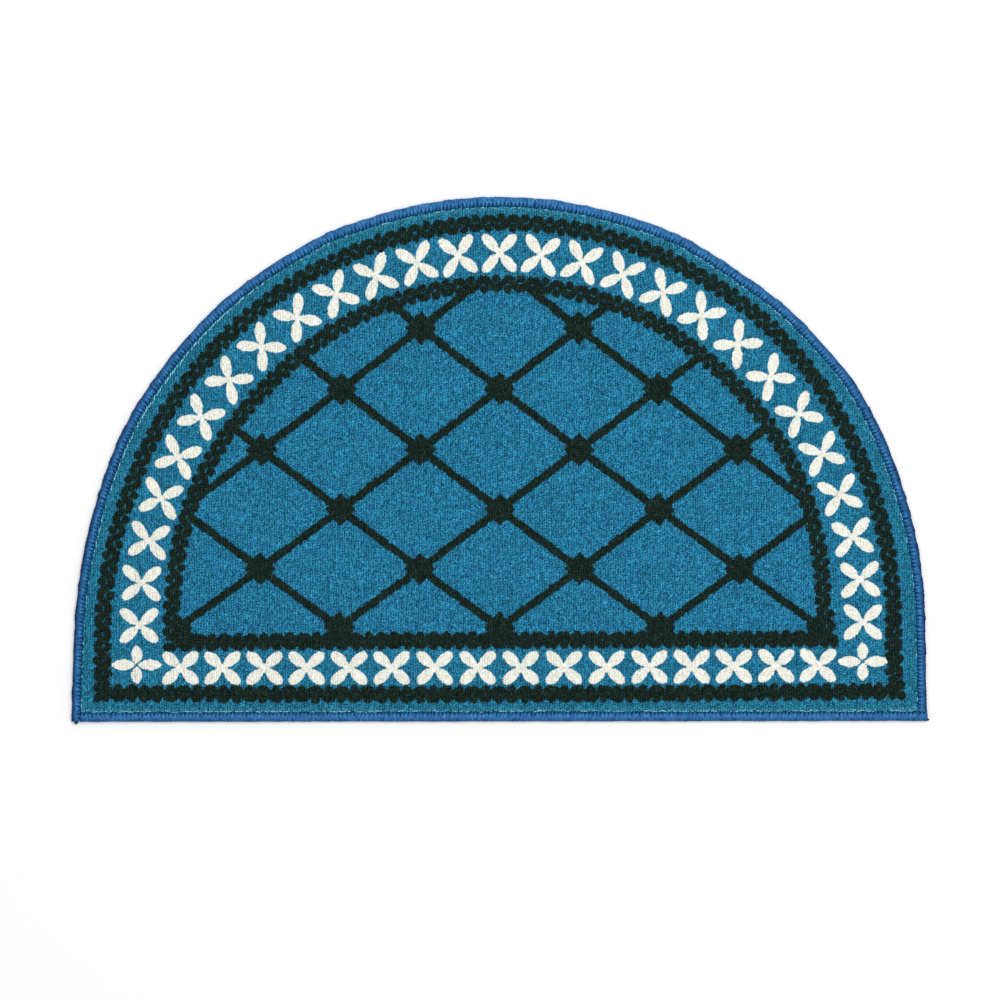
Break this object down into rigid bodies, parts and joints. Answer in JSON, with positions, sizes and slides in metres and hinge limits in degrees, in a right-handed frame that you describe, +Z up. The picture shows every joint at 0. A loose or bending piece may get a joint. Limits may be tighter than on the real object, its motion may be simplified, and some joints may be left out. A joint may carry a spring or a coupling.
{
  "type": "half moon bath mat",
  "caption": "Flat half-moon bath mat of printed loop-pile carpet, with a trellis field, a border of four-petal flowers and an overlocked edge.",
  "frame": {"origin": "middle of the mat's footprint, on the surface it lies on", "axes": "+X along the straight front edge to the right, +Y from the straight front edge towards the arch, +Z up out of the pile"},
  "size_m": [0.8, 0.491, 0.0052],
  "materials": {
    "printed_pile": "matt loop pile, printed",
    "edging_yarn": "soft sheen, stitched yarn"
  },
  "bodies": {
    "root": {"mat_body": "printed_pile", "edging_arch": "edging_yarn", "edging_front": "edging_yarn"}
  },
  "joints": []
}
